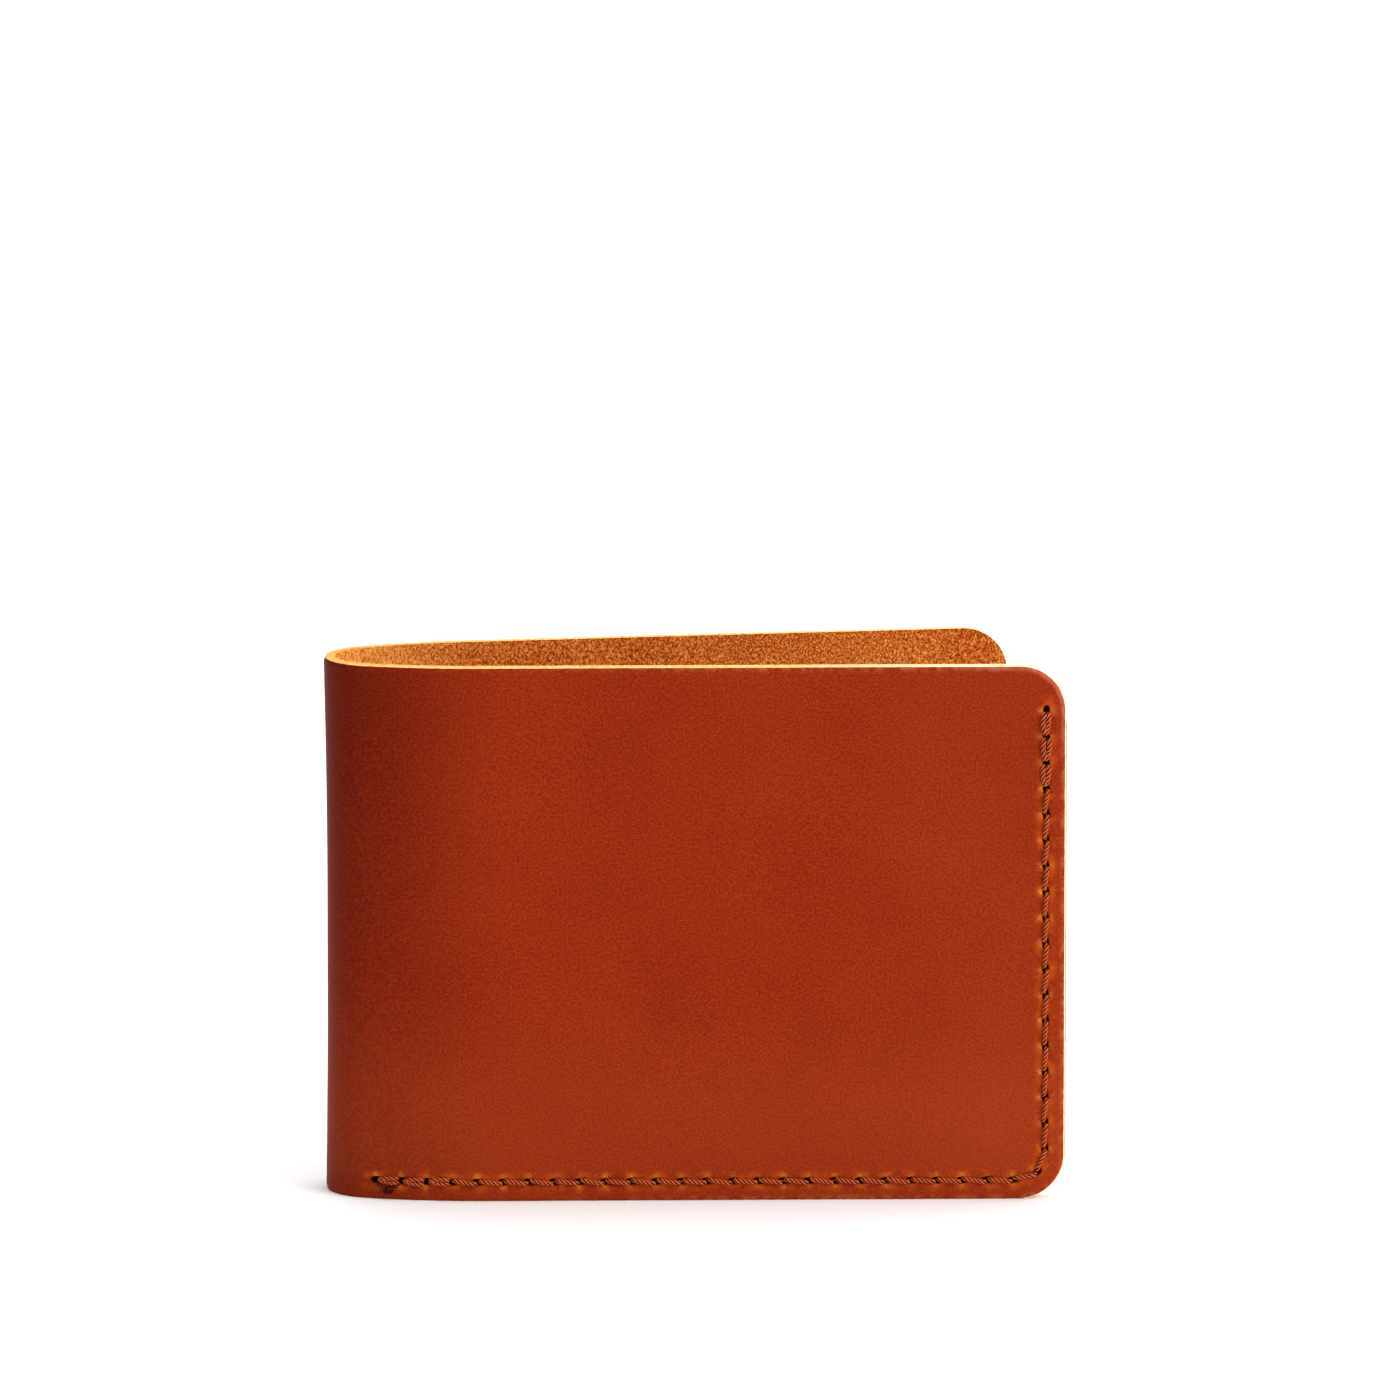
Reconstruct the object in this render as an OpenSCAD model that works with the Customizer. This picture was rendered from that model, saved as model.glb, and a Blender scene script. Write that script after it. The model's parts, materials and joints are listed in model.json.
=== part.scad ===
// Bifold wallet, stood on its bottom edges and a little open.
// One sheet of leather folds round the spine; each half carries a bill panel, three card pockets
// and the threads that sew them. Millimetres, +Z up, the spine towards -X, the front half towards -Y.
// A point of the leather is named by s, the length along its middle surface from the middle of
// the fold, and by depth, measured inwards from its outer face.

/* [Cover] */
// Height of the cover, bottom edge to top edge
cover_h = 83; // [76:1:100]
// Length of the front half, from the middle of the fold to the free edge
front_len = 116.2; // [108:0.1:125]
// Length of the back half, which the fold leaves a little shorter
back_len = 110.6; // [108:0.1:125]
// Thickness of the cover leather
cover_t = 1.8; // [1.2:0.1:2.4]
// Radius of the cover's free corners
corner_r = 7; // [3:0.5:12]

/* [Fold] */
// Radius of the fold, to the middle of the leather
fold_r = 7.8; // [7.6:0.1:11]
// Angle that each side of the fold turns through on that radius
fold_bend = 69.5; // [68:0.5:76]
// Length of the gentle curve between the fold and the flat of each half
ease_len = 18; // [10:0.5:24]
// Angle between each flat half and the middle plane
half_open = 3.75; // [2.5:0.25:5]
// Angle of the fold between two of its creases
crease_pitch = 26.5; // [24:0.5:27]
// Gap between two neighbouring strips of the fold
crease_gap = 0.3; // [0.2:0.05:0.5]

/* [Pockets] */
// Thickness of the bill panel
bill_t = 0.9; // [0.7:0.1:1.2]
// Height of the bill panel
bill_h = 75; // [70:1:80]
// Room for notes between the cover and the bill panel
bill_gap = 0.4; // [0.4:0.05:1]
// Thickness of the upper and middle card pockets
tab_t = 0.7; // [0.5:0.1:0.9]
// Thickness of the lower card pocket
lower_t = 0.9; // [0.7:0.1:1.2]
// Height of the lower card pocket's mouth
lower_mouth = 46; // [42:1:50]
// Rise from one card pocket's mouth to the next
mouth_step = 9; // [8:0.5:12]
// Depth of a card pocket from its mouth to its bottom seam
tab_depth = 42; // [40:1:44]
// Height of the shoulders that carry an upper pocket to the side seams
shoulder_h = 14; // [12:1:18]
// How much narrower the tab of an upper pocket is, on each side
tab_inset = 8; // [6:1:12]

/* [Sewing] */
// Distance from the edges to the seam
seam_inset = 3; // [2.5:0.1:4]
// Length of one stitch
stitch = 3.9; // [3:0.1:5]
// Radius of a stitch hole
hole_r = 0.45; // [0.4:0.05:0.6]
// Width of the thread where it lies on the leather
thread_w = 0.8; // [0.7:0.05:1]
// Thickness of the thread where it lies on the leather
thread_t = 0.3; // [0.2:0.05:0.35]

/* [Hidden] */

LEATHER = [0.62, 0.22, 0.08];
SUEDE = [0.72, 0.38, 0.14];
THREAD = [0.55, 0.26, 0.14];

eps = 0.5;              // how far a cutting shape runs past what it cuts
curve_step = 1.2;       // length between two points of a curved stretch
cap_steps = 8;          // flats round the end of a strip
leg_w = 0.5;            // width of a thread's leg, square, inside its hole
run_break = 0.1;        // between two runs of thread, over the leg that joins them
groove_play = 0.1;      // round the runs of thread that lie in a groove
panel_gap = 0.85;       // from the first crease to the inner panels' spine edges
crease_inset = (cover_t + crease_gap) / 2;

// Lengths along the leather where its curve changes
fold_end = fold_r * fold_bend * PI / 180;
ease_end = fold_end + ease_len;
ease_bend = 90 - half_open - fold_bend;
ease_r = ease_len / (ease_bend * PI / 180);

// The creases between strips, in degrees round the fold and as lengths along the leather
strips = 5;
crease_angles = [for (k = [0:strips]) crease_pitch * (strips / 2 - k)];
function crease_s(k) = fold_r * crease_angles[k] * PI / 180;

// Depths of the faces of each layer
bill_d = cover_t + bill_gap;
upper_d = bill_d + bill_t;
middle_d = upper_d + tab_t;
lower_d = middle_d + tab_t;
inner_d = lower_d + lower_t;

// Where the inner panels and the seams start, and where they end
panel_s = crease_s(0) + panel_gap;
seam_s = panel_s + 1;
side_seam_s = panel_s + seam_inset;
over_top = 1;           // how far the edge seam's last stitch reaches over the bill panel
foot_rise = 1.5;        // from a tab's edges to the seam that sews it down
middle_mouth = lower_mouth + mouth_step;
upper_mouth = middle_mouth + mouth_step;
corner_in = (corner_r - seam_inset) * (1 - sin(45));    // from the seam's two lines to its corner hole
corner_leg = corner_in + sqrt(stitch * stitch - corner_in * corner_in);

// The middle of the whole wallet's box, with the fold's centre at 0
thread_lift = 0.05;     // how far a thread lies clear of the leather, where that curves
thread_face = thread_t + thread_lift;
function reach_y(len) = max(-at(len, 0)[1], -at(len - seam_inset, -thread_face)[1]);
box_mid = [(at(max(front_len, back_len), inner_d)[0] - fold_r - cover_t / 2) / 2,
    (reach_y(back_len) - reach_y(front_len)) / 2, 0];

// ---- the curve of the leather, seen from above ----
// Angle from the spine's outward direction (-X) to the leather's outward direction; front half positive
function bend(s) =
    abs(s) <= fold_end ? s / fold_r * 180 / PI :
    abs(s) <= ease_end ? sign(s) * (fold_bend + (abs(s) - fold_end) / ease_r * 180 / PI) :
    sign(s) * (90 - half_open);
function outward(s) = [-cos(bend(s)), -sin(bend(s))];
function along(s) = [sin(bend(s)), -cos(bend(s))];
function fold_point(s) = fold_r * outward(s);
function ease_point(s) = fold_point(sign(s) * fold_end)
    + ease_r * (outward(s) - outward(sign(s) * fold_end));
function middle(s) =
    abs(s) <= fold_end ? fold_point(s) :
    abs(s) <= ease_end ? ease_point(s) :
    ease_point(sign(s) * ease_end) + (s - sign(s) * ease_end) * along(s);
function at(s, depth) = middle(s) + (cover_t / 2 - depth) * outward(s);

// Lengths at which the leather from s0 to s1 needs a point
function stations(s0, s1) = let (c = min(s1, ease_end), n = max(1, ceil((c - s0) / curve_step)))
    s0 >= ease_end ? [s0, s1] :
    concat([for (k = [0:n]) s0 + (c - s0) * k / n], s1 > ease_end ? [s1] : []);
function turned(list) = [for (k = [len(list) - 1:-1:0]) list[k]];
// Half round the end of a strip; dir is 1 at its far end and -1 at its near end
function end_round(s, dir) = [for (k = [1:cap_steps - 1])
    middle(s) + cover_t / 2 * (dir * cos(180 * k / cap_steps) * outward(s)
    + dir * sin(180 * k / cap_steps) * along(s))];

// A layer of the leather from s0 to s1 and between two depths, as high as it is told
module layer(s0, s1, d0, d1, z0, z1) {
    st = stations(s0, s1);
    translate([0, 0, z0]) linear_extrude(z1 - z0)
        polygon(concat([for (s = st) at(s, d0)], [for (s = turned(st)) at(s, d1)]));
}

// Cover leather from s0 to s1 with a round near end, and a round far end where it is asked for
module cover_strip(s0, s1, far_round) {
    st = stations(s0, s1);
    linear_extrude(cover_h) polygon(concat(
        [for (s = st) at(s, 0)],
        far_round ? end_round(s1, 1) : [],
        [for (s = turned(st)) at(s, cover_t)],
        end_round(s0, -1)));
}

// Turns a shape drawn on the flat of the front half (x = s, y = depth, z) to where that half is
module on_flat() {
    p = at(ease_end, 0);
    translate([p[0], p[1], 0]) rotate([0, 0, -half_open]) translate([-ease_end, 0, 0]) children();
}

// Cuts a free corner of the half to the corner radius, at the bottom or the top
module corner_cut(top) {
    c = [$half_len - corner_r, corner_r];
    translate([0, 0, top ? cover_h : 0]) mirror([0, 0, top ? 1 : 0])
        on_flat() translate([0, inner_d + eps, 0]) rotate([90, 0, 0]) linear_extrude(inner_d + 2 * eps)
            polygon(concat(
                [[c[0], -eps]],
                [for (a = [0:7.5:90]) c + corner_r * [sin(a), -cos(a)]],
                [[$half_len + eps, corner_r], [$half_len + eps, -eps]]));
}

// ---- seams: lists of holes, each at [s, z] ----
function upright_seam(s, z0, z1) = let (n = round((z1 - z0) / stitch))
    [for (k = [0:n]) [s, z0 + k * (z1 - z0) / n]];
function level_seam(s0, s1, z) = let (n = round((s1 - s0) / stitch))
    [for (k = [0:n]) [s0 + k * (s1 - s0) / n, z]];

// The edge seam runs along the bottom, through one hole in the corner and up the free edge
function edge_seam_s() = $half_len - seam_inset;
function edge_seam() = concat(
    level_seam(seam_s, edge_seam_s() - corner_leg, seam_inset),
    [[edge_seam_s() - corner_in, seam_inset + corner_in]],
    upright_seam(edge_seam_s(), seam_inset + corner_leg, bill_h + over_top));

// The other seams run up the spine side of the pockets, and under the two upper pockets
side_seam = upright_seam(side_seam_s, seam_inset + stitch, upper_mouth - 1);
tab_s0 = side_seam_s + tab_inset;
function tab_s1() = edge_seam_s() - tab_inset;
function tab_seam(mouth) = level_seam(tab_s0 + foot_rise, tab_s1() - foot_rise, mouth - tab_depth);

// The holes of a seam that go through a layer between two heights
function through(seam, z0, z1) = [for (p = seam) if (p[1] > z0 - hole_r && p[1] < z1 + hole_r) p];

// Depth of the innermost face of the pockets at a height
function inner_face(z) =
    z < lower_mouth ? inner_d :
    z < middle_mouth ? lower_d :
    z < upper_mouth ? middle_d :
    z < bill_h ? upper_d : cover_t;

// Round holes through the leather, square to it
module holes(seam, d0, d1) {
    for (p = seam) {
        a = at(p[0], d0 - eps);
        translate([a[0], a[1], p[1]]) rotate([0, 0, bend(p[0]) - 90]) rotate([-90, 0, 0])
            cylinder(r = hole_r, h = d1 - d0 + 2 * eps, $fn = 24);
    }
}

// A leg of thread through a hole, from depth d0 to depth d1
module leg(p, d0, d1) {
    a = at(p[0], (d0 + d1) / 2);
    translate([a[0], a[1], p[1]]) rotate([0, 0, bend(p[0]) - 90])
        cube([leg_w, d1 - d0, leg_w], center = true);
}

// One run of thread between two holes, from depth d0 to depth d1
module run(p, q, d0, d1) {
    a = at(p[0], (d0 + d1) / 2);
    b = at(q[0], (d0 + d1) / 2);
    level = norm(b - a);
    rise = q[1] - p[1];
    translate([(a[0] + b[0]) / 2, (a[1] + b[1]) / 2, (p[1] + q[1]) / 2])
        rotate([0, 0, level > 0 ? atan2(b[1] - a[1], b[0] - a[0]) : bend(p[0]) - 90])
            rotate([0, -atan2(rise, level), 0])
                cube([norm([level, rise]) - run_break, d1 - d0, thread_w], center = true);
}

// A sewn thread: legs through the holes, and runs on both faces of the leather.
// inner_ds holds the depth of the inner face at each hole.
module thread(seam, outer_d, inner_ds) {
    last = len(seam) - 1;
    mid_run = thread_lift + thread_t / 2;
    for (k = [0:last])
        leg(seam[k], outer_d - mid_run, max(inner_ds[k], inner_ds[max(0, k - 1)]) + mid_run);
    for (k = [0:last - 1]) {
        run(seam[k], seam[k + 1], outer_d - thread_face, outer_d - thread_lift);
        run(seam[k], seam[k + 1], inner_ds[k] + thread_lift, inner_ds[k] + thread_face);
    }
}

// ---- the pieces, as they lie in the front half ----
module half_cover() {
    color(LEATHER) difference() {
        cover_strip(crease_s(0) + crease_inset, $half_len, false);
        corner_cut(false);
        corner_cut(true);
        holes(edge_seam(), 0, cover_t);
    }
}

module bill_panel() {
    color(LEATHER) difference() {
        layer(panel_s, $half_len, bill_d, upper_d, 0, bill_h);
        corner_cut(false);
        holes(through(edge_seam(), 0, bill_h), bill_d, upper_d);
        holes(side_seam, bill_d, upper_d);
        for (mouth = [middle_mouth, upper_mouth]) holes(tab_seam(mouth), bill_d, upper_d);
    }
}

// An upper card pocket: wide shoulders under its mouth, and a narrower tab sewn down along its foot.
// The foot's stitches lie in a groove, so that cards slide past them.
module tab_pocket(mouth, d) {
    foot_seam = mouth - tab_depth;
    shoulder = mouth - shoulder_h;
    groove = thread_w / 2 + groove_play;
    color(SUEDE) difference() {
        union() {
            layer(panel_s, $half_len, d, d + tab_t, shoulder, mouth);
            layer(tab_s0, tab_s1(), d, d + tab_t, foot_seam - foot_rise, shoulder + eps);
        }
        holes(through(edge_seam(), shoulder, mouth), d, d + tab_t);
        holes(through(side_seam, shoulder, mouth), d, d + tab_t);
        holes(tab_seam(mouth), d, d + tab_t);
        layer(tab_s0 - eps, tab_s1() + eps, d + tab_t - thread_t - 2 * groove_play, d + tab_t + eps,
            foot_seam - groove, foot_seam + groove);
    }
}

module lower_pocket() {
    color(LEATHER) difference() {
        layer(panel_s, $half_len, lower_d, inner_d, 0, lower_mouth);
        corner_cut(false);
        holes(through(edge_seam(), 0, lower_mouth), lower_d, inner_d);
        holes(through(side_seam, 0, lower_mouth), lower_d, inner_d);
    }
}

module seam_thread() {
    seam = edge_seam();
    color(THREAD) thread(seam, 0, [for (p = seam) inner_face(p[1])]);
}

module pocket_side_thread() {
    color(THREAD) thread(side_seam, bill_d, [for (p = side_seam) inner_face(p[1])]);
}

module tab_thread(mouth, d) {
    seam = tab_seam(mouth);
    groove_floor = d + tab_t - thread_t - groove_play;
    color(THREAD) thread(seam, bill_d, [for (p = seam) groove_floor - thread_lift]);
}

// One strip of the fold, between two creases
module spine_strip(k) {
    color(LEATHER) translate(-box_mid)
        cover_strip(crease_s(k) + crease_inset, crease_s(k - 1) - crease_inset, true);
}

// ---- the assembly ----
module front() {
    $half_len = front_len;
    translate(-box_mid) children();
}
module back() {
    $half_len = back_len;
    translate(-box_mid) mirror([0, 1, 0]) children();
}

front() half_cover();  // front_cover
spine_strip(1);  // spine_strip_1
spine_strip(2);  // spine_strip_2
spine_strip(3);  // spine_strip_3
spine_strip(4);  // spine_strip_4
spine_strip(5);  // spine_strip_5
back() half_cover();  // back_cover
front() bill_panel();  // front_bill_panel
front() tab_pocket(upper_mouth, upper_d);  // front_upper_card_pocket
front() tab_pocket(middle_mouth, middle_d);  // front_middle_card_pocket
front() lower_pocket();  // front_lower_card_pocket
front() seam_thread();  // front_seam_thread
front() pocket_side_thread();  // front_pocket_side_thread
front() tab_thread(upper_mouth, upper_d);  // front_upper_pocket_thread
front() tab_thread(middle_mouth, middle_d);  // front_middle_pocket_thread
back() bill_panel();  // back_bill_panel
back() tab_pocket(upper_mouth, upper_d);  // back_upper_card_pocket
back() tab_pocket(middle_mouth, middle_d);  // back_middle_card_pocket
back() lower_pocket();  // back_lower_card_pocket
back() seam_thread();  // back_seam_thread
back() pocket_side_thread();  // back_pocket_side_thread
back() tab_thread(upper_mouth, upper_d);  // back_upper_pocket_thread
back() tab_thread(middle_mouth, middle_d);  // back_middle_pocket_thread
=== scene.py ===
"""Bifold wallet: its leather, seams and materials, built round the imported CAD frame.

Leather is drawn flat and then bent. A flat place is (s, z) in millimetres: s is the length along
the leather's middle surface from the middle of the fold (the front half is positive), z the height.
Depth is measured inwards from the cover's outer face. place() bends flat places into the frame.
"""
import json
import math

import bpy
import numpy as np
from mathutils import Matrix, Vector
from mathutils.geometry import delaunay_2d_cdt
from mathutils.kdtree import KDTree
from numpy.linalg import norm


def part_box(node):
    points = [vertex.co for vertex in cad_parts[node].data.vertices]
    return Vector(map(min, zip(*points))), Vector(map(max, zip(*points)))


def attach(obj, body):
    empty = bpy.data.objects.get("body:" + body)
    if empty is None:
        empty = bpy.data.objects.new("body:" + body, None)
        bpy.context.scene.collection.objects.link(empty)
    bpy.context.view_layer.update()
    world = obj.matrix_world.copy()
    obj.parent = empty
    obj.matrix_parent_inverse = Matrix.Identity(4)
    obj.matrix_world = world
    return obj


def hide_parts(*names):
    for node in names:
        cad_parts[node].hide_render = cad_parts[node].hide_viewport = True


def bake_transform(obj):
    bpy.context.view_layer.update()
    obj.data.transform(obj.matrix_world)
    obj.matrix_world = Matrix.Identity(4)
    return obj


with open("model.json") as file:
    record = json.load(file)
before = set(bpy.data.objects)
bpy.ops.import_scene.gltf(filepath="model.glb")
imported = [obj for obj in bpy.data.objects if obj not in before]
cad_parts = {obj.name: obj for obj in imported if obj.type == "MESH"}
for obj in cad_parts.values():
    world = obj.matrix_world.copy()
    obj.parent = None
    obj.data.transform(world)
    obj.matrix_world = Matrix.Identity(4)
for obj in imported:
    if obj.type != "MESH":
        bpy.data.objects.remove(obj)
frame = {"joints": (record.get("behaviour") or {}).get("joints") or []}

scene = bpy.context.scene
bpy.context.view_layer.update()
MM = 0.001

# ---- sizes, in millimetres
COVER_T = 1.8               # cover leather
FOLD_BEND = 69.5            # degrees that each side of the fold turns through on its radius
EASE_LEN = 18.0             # length of the gentle curve from the fold to the flat
CORNER_R = 7.0              # cover's free corners
BILL_PRESSED, BILL_GAP = 0.02, 0.4      # from the cover to the bill panel at the seam, and more elsewhere
BILL_T, TAB_T, LOWER_T = 0.9, 0.7, 0.9  # leather of the bill panel, the T-shaped pockets and the lower one
LOWER_MOUTH, MOUTH_STEP = 46.0, 9.0     # height of the lowest mouth, and from one mouth to the next
TAB_DEPTH, SHOULDER_H = 42.0, 14.0      # height of a T-shaped pocket over its tab, and at its sides
TAB_INSET = 8.0             # from a seam to the tab's side
FOOT_RISE = 1.5             # from a tab's lower edge to its seam
SEAM_INSET = 3.0            # from the leather's edge
STITCH = 3.9                # from hole to hole
BOW_DEPTH, BOW_WIDTH = 0.35, 14.0       # how far, and over what length, the fold bows in half way up
PANEL_GAP = 0.85            # along the leather, from the fold's first crease to the panels' edge
FIRST_HOLE = 1.0            # from the panels' edge to the first hole of the edge seam
PROUD = 0.2                 # how far the inner layers' cut edges stand past the cover's
PRESSED_GAP = 0.03          # between two layers of leather that lie on each other

# ---- the bent plan
hinges = sorted(frame["joints"], key=lambda joint: joint["name"])
poles = [np.array(joint["pos_m"][:2]) / MM for joint in hinges]
opening = hinges[0]["range_deg"][1]         # degrees at each of the six hinges
half_open = (180 - len(hinges) * opening) / 2


def circle_centre(p, q, r):
    """Centre of the circle through three points."""
    rows = 2 * np.array([q - p, r - p])
    return np.linalg.solve(rows, np.array([q @ q - p @ p, r @ r - p @ p]))


fold_centre = circle_centre(poles[0], poles[2], poles[5])
pole_r = norm(poles[0] - fold_centre)
half_turn = math.radians(opening / 2)
fold_r = pole_r * math.sin(half_turn) / half_turn
crease_angles = [math.degrees(math.asin((fold_centre[1] - p[1]) / pole_r)) for p in poles]
crease_pitch = (crease_angles[0] - crease_angles[-1]) / (len(poles) - 1)


def fold_s(angle):
    """Length along the leather at an angle round the fold, in degrees."""
    return fold_r * math.radians(angle)


PLAN_STEP, PLAN_END = 0.05, 140     # spacing and reach of the points that the plan is worked out at
plan_s = np.arange(-PLAN_END, PLAN_END + PLAN_STEP / 2, PLAN_STEP)
plan_bend = np.radians(np.sign(plan_s) * np.interp(
    np.abs(plan_s),
    [0, fold_s(FOLD_BEND), fold_s(FOLD_BEND) + EASE_LEN],
    [0, FOLD_BEND, 90 - half_open]))


def running_sum(values):
    """Integral along the plan that is 0 at the middle of the fold."""
    total = np.concatenate([[0], np.cumsum((values[1:] + values[:-1]) / 2 * PLAN_STEP)])
    return total - np.interp(0, plan_s, total)


plan_x = fold_centre[0] - fold_r + running_sum(np.sin(plan_bend))
plan_y = fold_centre[1] - running_sum(np.cos(plan_bend))


def place(s, z, depth):
    """Flat places and depths, in millimetres, bent into the frame, in metres."""
    s, z, depth = np.broadcast_arrays(np.asarray(s, float), z, depth)
    bend = np.interp(s, plan_s, plan_bend)
    out = COVER_T / 2 - depth
    x = np.interp(s, plan_s, plan_x) - out * np.cos(bend)
    y = np.interp(s, plan_s, plan_y) - out * np.sin(bend)
    return np.stack([x, y, z], -1) * MM


def length_to(x, side):
    """Length of a half whose inner face reaches the frame's x."""
    s = side * np.arange(fold_s(FOLD_BEND), PLAN_END - 1, PLAN_STEP)
    return float(np.interp(x, place(s, 0, COVER_T)[:, 0], np.abs(s)))


cover_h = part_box("front_cover")[1].z / MM
bill_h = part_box("front_bill_panel")[1].z / MM
front_len = length_to(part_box("front_cover")[1].x, 1)
back_len = length_to(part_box("back_cover")[1].x, -1)
panel_s = fold_s(crease_angles[0]) + PANEL_GAP
seam_s = panel_s + FIRST_HOLE
side_seam_s = panel_s + SEAM_INSET
middle_mouth = LOWER_MOUTH + MOUTH_STEP
upper_mouth = middle_mouth + MOUTH_STEP

# ---- flat shapes


def smooth(low, high, value):
    """A smooth step from 0 to 1 while value goes from low to high."""
    t = np.clip((value - low) / (high - low), 0, 1)
    return t * t * (3 - 2 * t)


def unit(rows):
    """Each row scaled to length 1."""
    return rows / norm(rows, axis=1)[:, None]


def travelled(path):
    """Distance along a path to each of its points."""
    return np.concatenate([[0], np.cumsum(norm(np.diff(path, axis=0), axis=1))])


def outline_of(corners, gap=0.9):
    """Points round a shape, anticlockwise, from corners (s, z, radius); radius 0 keeps it sharp."""
    points = []
    count = len(corners)
    for k, (s, z, radius) in enumerate(corners):
        here = np.array([s, z])
        before = np.array(corners[k - 1][:2]) - here
        after = np.array(corners[(k + 1) % count][:2]) - here
        before, after = before / norm(before), after / norm(after)
        if radius == 0:
            points.append(here)
            continue
        half = math.acos(np.clip(before @ after, -1, 1)) / 2
        middle = here + (before + after) / norm(before + after) * radius / math.sin(half)
        start = here + before * radius / math.tan(half) - middle
        turn = np.sign(-before[0] * after[1] + before[1] * after[0]) * (math.pi - 2 * half)
        steps = max(3, int(abs(turn) * radius / (gap * 0.6)))
        for a in np.linspace(0, turn, steps + 1):
            c, n = math.cos(a), math.sin(a)
            points.append(middle + [start[0] * c - start[1] * n, start[0] * n + start[1] * c])
    return np.array(points)


def mirrored(corners, side):
    """Corners for the front half (side 1) or the back half (side -1), anticlockwise in both."""
    return [(side * s, z, r) for s, z, r in (corners if side > 0 else corners[::-1])]


RINGS = (0.03, 0.09, 0.18, 0.3, 0.45, 0.65, 0.9)    # insets of the rows of points along a grain face's edge
FLESH_RINGS = (0.12, 0.6)                           # and along a flesh face's


def cut_marks(low, high):
    """Heights of the points down a cut through the leather, the same for both pieces that meet there."""
    middle = np.linspace(low + RINGS[-1], high - RINGS[-1], 60)
    outer = np.array(RINGS[:-1])
    return np.concatenate([[low], low + outer, middle, high - outer[::-1], [high]])


def dense(points, cut_s=(), gap=0.9):
    """Adds points along straight stretches. Returns the points, and which stretches are cuts."""
    out, cuts = [], []
    for a, b in zip(points, np.roll(points, -1, 0)):
        is_cut = any(abs(a[0] - c) < 1e-6 and abs(b[0] - c) < 1e-6 for c in cut_s)
        if is_cut:
            marks = cut_marks(min(a[1], b[1]), max(a[1], b[1]))
            marks = marks if b[1] > a[1] else marks[::-1]
            row = [(a[0], z) for z in marks[:-1]]
        else:
            steps = max(1, int(math.ceil(norm(b - a) / gap)))
            row = [a + (b - a) * k / steps for k in range(steps)]
        out += row
        cuts += [is_cut] * len(row)
    return np.array(out, float), np.array(cuts)


def nearest(points, spots):
    """Number of the nearest spot to each flat point."""
    tree = KDTree(len(spots))
    for k, (s, z) in enumerate(spots.tolist()):
        tree.insert((s, z, 0), k)
    tree.balance()
    return np.array([tree.find((s, z, 0))[1] for s, z in points.tolist()])


def segment_distance(points, a, b):
    """Distance from each flat point to its own segment, from a to b."""
    along = b - a
    t = np.clip(((points - a) * along).sum(1) / ((along * along).sum(1) + 1e-12), 0, 1)
    return norm(points - a - t[:, None] * along, axis=1)


def edge_distance(points, outline, cuts):
    """Distance from flat points to the nearest stretch of outline that isn't a cut."""
    ends = np.roll(outline, -1, 0)
    free = np.flatnonzero(~cuts)
    starts, stops = outline[free], ends[free]
    k = nearest(points, (starts + stops) / 2)
    beside = (k - 1) % len(free), k, (k + 1) % len(free)
    return np.minimum.reduce([segment_distance(points, starts[j], stops[j]) for j in beside])


def inside(points, outline):
    """Which flat points are inside an outline."""
    result = np.zeros(len(points), bool)
    for a, b in zip(outline, np.roll(outline, -1, 0)):
        crosses = (a[1] > points[:, 1]) != (b[1] > points[:, 1])
        if crosses.any():
            at = a[0] + (points[:, 1] - a[1]) / (b[1] - a[1] + 1e-12) * (b[0] - a[0])
            result ^= crosses & (points[:, 0] < at)
    return result


def inset(outline, cuts, by):
    """The outline moved inwards, except where it is a cut. Drops points that stay on the cut's ends."""
    step = np.roll(outline, -1, 0) - outline
    normal = unit(np.stack([-step[:, 1], step[:, 0]], 1))
    moved = []
    for k in range(len(outline)):
        if cuts[k] and cuts[k - 1]:
            continue
        rows = np.array([normal[k - 1], normal[k]])
        want = np.array([0 if cuts[k - 1] else by, 0 if cuts[k] else by])
        if abs(np.linalg.det(rows)) < 0.05:
            moved.append(outline[k] + (normal[k - 1] + normal[k]) / 2 * by)
        else:
            moved.append(outline[k] + np.linalg.solve(rows, want))
    return np.array(moved)


ROW_PITCH = 0.87            # of staggered rows, in gaps


def grid_points(low, high, gap):
    """Staggered rows of points over a box."""
    rows = []
    for j, z in enumerate(np.arange(low[1] + gap / 2, high[1], gap * ROW_PITCH)):
        s = np.arange(low[0] + gap / 2 * (1 + j % 2), high[0], gap)
        rows.append(np.stack([s, np.full_like(s, z)], 1))
    return np.concatenate(rows)


# ---- seams
SLIT = np.array([1.35, 0.85])       # an awl's hole is longer along the seam than across it


def line_distance(points, line):
    """Distance from flat points to an open line of flat points."""
    k = nearest(points, line)
    before, after = np.maximum(k - 1, 0), np.minimum(k + 1, len(line) - 1)
    return np.minimum(segment_distance(points, line[before], line[k]),
                      segment_distance(points, line[k], line[after]))


def seam_directions(holes):
    """Unit direction of the seam at each hole."""
    return unit(np.gradient(holes, axis=0))


def hole_places(points, holes):
    """Places along and across the seam from the nearest hole, and which hole that is."""
    k = nearest(points, holes)
    away, along = points - holes[k], seam_directions(holes)[k]
    across = away[:, 1] * along[:, 0] - away[:, 0] * along[:, 1]
    return np.stack([(away * along).sum(1), across], 1), k


def hole_distance(points, holes):
    """Distance to the nearest hole, measured so that the hole's slit is round."""
    return norm(hole_places(points, holes)[0] / SLIT, axis=1)


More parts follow.
